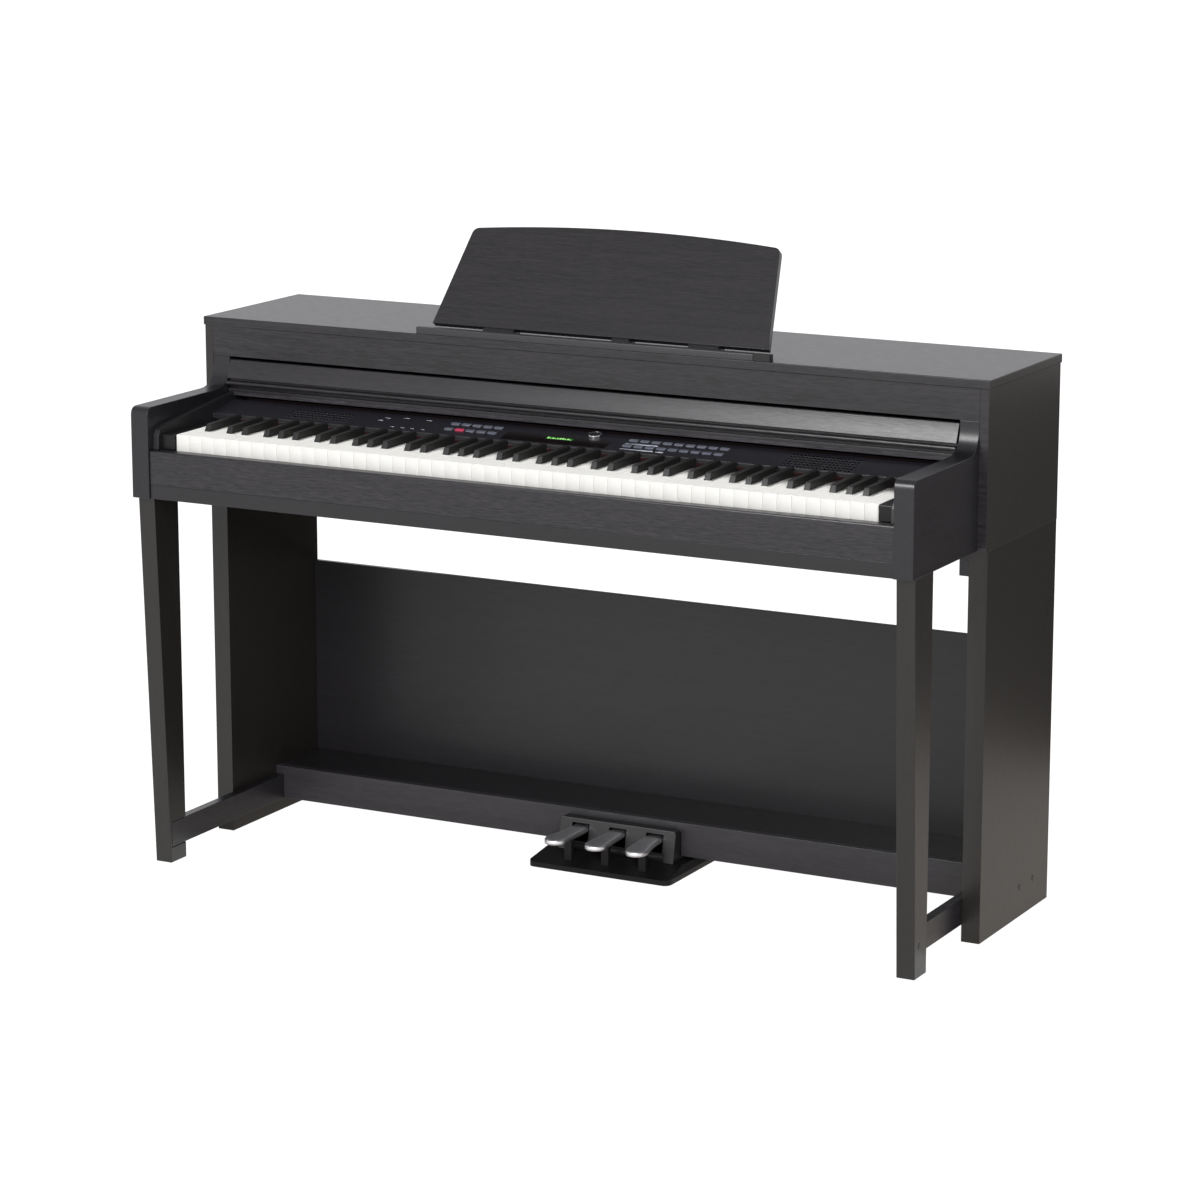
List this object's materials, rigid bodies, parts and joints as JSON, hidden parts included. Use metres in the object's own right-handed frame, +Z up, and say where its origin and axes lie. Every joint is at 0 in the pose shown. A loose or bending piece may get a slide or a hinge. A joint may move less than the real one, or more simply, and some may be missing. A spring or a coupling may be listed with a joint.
{
  "type": "digital piano on stand",
  "caption": "Upright digital piano on a panelled stand with full keyboard, sliding key cover, folding music desk, sloping control panel and floor pedals.",
  "frame": {"origin": "on the floor, midway between the sides and midway between the front and the back of the piano", "axes": "+X to the player's right, +Y away from the player, +Z up"},
  "size_m": [1.389, 0.5304, 1.0396],
  "materials": {
    "board_satin_black": "black laminate pressed on particle board, satin, faint grain",
    "slip_grained_black": "black grained foil, satin",
    "moulding_black": "fine spark-textured ABS",
    "gloss_black": "polished black plastic",
    "key_white": "moulded white key top, satin gloss",
    "key_black": "matt black sharp",
    "pedal_metal": "nickel-plated pressed steel, satin top, bright rims",
    "button_white": "translucent white button caps",
    "dial_black": "black dial with a silver ring",
    "back_board": "dark backing board",
    "circuit": "glass-fibre circuit board with a black inlet",
    "speaker": "pressed basket, paper cone"
  },
  "bodies": {
    "piano": {"top_board": "board_satin_black", "case_side_left": "board_satin_black", "case_side_right": "board_satin_black", "front_panel": "board_satin_black", "cheek_left": "board_satin_black", "cheek_right": "board_satin_black", "keybed": "board_satin_black", "stand_side_left": "board_satin_black", "stand_side_right": "board_satin_black", "front_leg_left": "board_satin_black", "front_leg_right": "board_satin_black", "foot_rail_left": "board_satin_black", "foot_rail_right": "board_satin_black", "kick_board": "board_satin_black", "shelf_board": "board_satin_black", "modesty_panel": "board_satin_black", "top_cleat_left": "board_satin_black", "top_cleat_right": "board_satin_black", "key_slip": "slip_grained_black", "back_panel": "back_board", "cover_guide_left": "moulding_black", "cover_guide_right": "moulding_black", "control_panel": "moulding_black", "desk_ledge": "moulding_black", "desk_hinge_left": "moulding_black", "desk_hinge_middle": "moulding_black", "desk_hinge_right": "moulding_black", "key_frame": "moulding_black", "display_window": "gloss_black", "pedal_base": "gloss_black", "pedal_housing": "gloss_black", "sound_board": "circuit", "speaker_left": "speaker", "speaker_right": "speaker"},
    "key_cover": {"fallboard": "board_satin_black"},
    "desk": {"music_desk": "board_satin_black"},
    "dial_knob": {"dial": "dial_black"},
    "row_left_back": {"buttons_left_back": "button_white"},
    "row_left_front": {"buttons_left_front": "button_white"},
    "row_right_back": {"buttons_right_back": "button_white"},
    "row_right_front": {"buttons_right_front": "button_white"},
    "pedal_left_arm": {"pedal_left": "pedal_metal"},
    "pedal_middle_arm": {"pedal_middle": "pedal_metal"},
    "pedal_right_arm": {"pedal_right": "pedal_metal"},
    "low_whites": {"white_keys_low": "key_white"},
    "high_whites": {"white_keys_high": "key_white"},
    "low_sharps": {"black_keys_low": "key_black"},
    "high_sharps": {"black_keys_high": "key_black"},
    "note_c4": {"key_c4": "key_white"},
    "note_d4": {"key_d4": "key_white"},
    "note_e4": {"key_e4": "key_white"},
    "note_f4": {"key_f4": "key_white"},
    "note_g4": {"key_g4": "key_white"},
    "note_a4": {"key_a4": "key_white"},
    "note_b4": {"key_b4": "key_white"},
    "note_c_sharp4": {"key_c_sharp4": "key_black"},
    "note_d_sharp4": {"key_d_sharp4": "key_black"},
    "note_f_sharp4": {"key_f_sharp4": "key_black"},
    "note_g_sharp4": {"key_g_sharp4": "key_black"},
    "note_a_sharp4": {"key_a_sharp4": "key_black"}
  },
  "joints": [
    {"name": "cover_slide", "type": "slide", "parent": "piano", "child": "key_cover", "axis": [0, -0.993, -0.1184], "range_m": [0, 0.2065]},
    {"name": "desk_fold", "type": "hinge", "parent": "piano", "child": "desk", "pos_m": [0.007, 0.03875, 0.879], "axis": [-1, 0, 0], "range_deg": [0, 57]},
    {"name": "dial_turn", "type": "hinge", "parent": "piano", "child": "dial_knob", "pos_m": [0.042, -0.04226, 0.73869], "axis": [0, -0.1959, 0.9806], "continuous": true},
    {"name": "left_back_press", "type": "slide", "parent": "piano", "child": "row_left_back", "axis": [0, 0.1959, -0.9806], "range_m": [0, 0.001], "stiffness_N_per_m": 1500, "springref_m": -0.001},
    {"name": "left_front_press", "type": "slide", "parent": "piano", "child": "row_left_front", "axis": [0, 0.1959, -0.9806], "range_m": [0, 0.001], "stiffness_N_per_m": 1500, "springref_m": -0.001},
    {"name": "right_back_press", "type": "slide", "parent": "piano", "child": "row_right_back", "axis": [0, 0.1959, -0.9806], "range_m": [0, 0.001], "stiffness_N_per_m": 1500, "springref_m": -0.001},
    {"name": "right_front_press", "type": "slide", "parent": "piano", "child": "row_right_front", "axis": [0, 0.1959, -0.9806], "range_m": [0, 0.001], "stiffness_N_per_m": 1500, "springref_m": -0.001},
    {"name": "pedal_left_press", "type": "hinge", "parent": "piano", "child": "pedal_left_arm", "pos_m": [-0.06, 0.17475, 0.048], "axis": [1, 0, 0], "range_deg": [0, 3.6], "stiffness_Nm_per_rad": 20, "springref_deg": -8.59},
    {"name": "pedal_middle_press", "type": "hinge", "parent": "piano", "child": "pedal_middle_arm", "pos_m": [0.008, 0.17475, 0.048], "axis": [1, 0, 0], "range_deg": [0, 3.6], "stiffness_Nm_per_rad": 20, "springref_deg": -8.59},
    {"name": "pedal_right_press", "type": "hinge", "parent": "piano", "child": "pedal_right_arm", "pos_m": [0.076, 0.17475, 0.048], "axis": [1, 0, 0], "range_deg": [0, 3.6], "stiffness_Nm_per_rad": 20, "springref_deg": -8.59},
    {"name": "low_whites_press", "type": "hinge", "parent": "piano", "child": "low_whites", "pos_m": [-0.34075, 0.03075, 0.69], "axis": [1, 0, 0], "range_deg": [0, 2.14], "stiffness_Nm_per_rad": 69, "springref_deg": -14.32},
    {"name": "low_sharps_press", "type": "hinge", "parent": "piano", "child": "low_sharps", "pos_m": [-0.352, 0.02475, 0.7183], "axis": [1, 0, 0], "range_deg": [0, 2.5], "stiffness_Nm_per_rad": 24, "springref_deg": -14.32},
    {"name": "high_whites_press", "type": "hinge", "parent": "piano", "child": "high_whites", "pos_m": [0.3525, 0.03075, 0.69], "axis": [1, 0, 0], "range_deg": [0, 2.14], "stiffness_Nm_per_rad": 66, "springref_deg": -14.32},
    {"name": "high_sharps_press", "type": "hinge", "parent": "piano", "child": "high_sharps", "pos_m": [0.352, 0.02475, 0.7183], "axis": [1, 0, 0], "range_deg": [0, 2.5], "stiffness_Nm_per_rad": 22.5, "springref_deg": -14.32},
    {"name": "c4_press", "type": "hinge", "parent": "piano", "child": "note_c4", "pos_m": [-0.05875, 0.03075, 0.69], "axis": [1, 0, 0], "range_deg": [0, 2.14], "stiffness_Nm_per_rad": 3, "springref_deg": -14.32},
    {"name": "d4_press", "type": "hinge", "parent": "piano", "child": "note_d4", "pos_m": [-0.03525, 0.03075, 0.69], "axis": [1, 0, 0], "range_deg": [0, 2.14], "stiffness_Nm_per_rad": 3, "springref_deg": -14.32},
    {"name": "e4_press", "type": "hinge", "parent": "piano", "child": "note_e4", "pos_m": [-0.01175, 0.03075, 0.69], "axis": [1, 0, 0], "range_deg": [0, 2.14], "stiffness_Nm_per_rad": 3, "springref_deg": -14.32},
    {"name": "f4_press", "type": "hinge", "parent": "piano", "child": "note_f4", "pos_m": [0.01175, 0.03075, 0.69], "axis": [1, 0, 0], "range_deg": [0, 2.14], "stiffness_Nm_per_rad": 3, "springref_deg": -14.32},
    {"name": "g4_press", "type": "hinge", "parent": "piano", "child": "note_g4", "pos_m": [0.03525, 0.03075, 0.69], "axis": [1, 0, 0], "range_deg": [0, 2.14], "stiffness_Nm_per_rad": 3, "springref_deg": -14.32},
    {"name": "a4_press", "type": "hinge", "parent": "piano", "child": "note_a4", "pos_m": [0.05875, 0.03075, 0.69], "axis": [1, 0, 0], "range_deg": [0, 2.14], "stiffness_Nm_per_rad": 3, "springref_deg": -14.32},
    {"name": "b4_press", "type": "hinge", "parent": "piano", "child": "note_b4", "pos_m": [0.08225, 0.03075, 0.69], "axis": [1, 0, 0], "range_deg": [0, 2.14], "stiffness_Nm_per_rad": 3, "springref_deg": -14.32},
    {"name": "c_sharp4_press", "type": "hinge", "parent": "piano", "child": "note_c_sharp4", "pos_m": [-0.0494, 0.02475, 0.7183], "axis": [1, 0, 0], "range_deg": [0, 2.5], "stiffness_Nm_per_rad": 1.5, "springref_deg": -14.32},
    {"name": "d_sharp4_press", "type": "hinge", "parent": "piano", "child": "note_d_sharp4", "pos_m": [-0.0211, 0.02475, 0.7183], "axis": [1, 0, 0], "range_deg": [0, 2.5], "stiffness_Nm_per_rad": 1.5, "springref_deg": -14.32},
    {"name": "f_sharp4_press", "type": "hinge", "parent": "piano", "child": "note_f_sharp4", "pos_m": [0.0201, 0.02475, 0.7183], "axis": [1, 0, 0], "range_deg": [0, 2.5], "stiffness_Nm_per_rad": 1.5, "springref_deg": -14.32},
    {"name": "g_sharp4_press", "type": "hinge", "parent": "piano", "child": "note_g_sharp4", "pos_m": [0.047, 0.02475, 0.7183], "axis": [1, 0, 0], "range_deg": [0, 2.5], "stiffness_Nm_per_rad": 1.5, "springref_deg": -14.32},
    {"name": "a_sharp4_press", "type": "hinge", "parent": "piano", "child": "note_a_sharp4", "pos_m": [0.0739, 0.02475, 0.7183], "axis": [1, 0, 0], "range_deg": [0, 2.5], "stiffness_Nm_per_rad": 1.5, "springref_deg": -14.32}
  ]
}
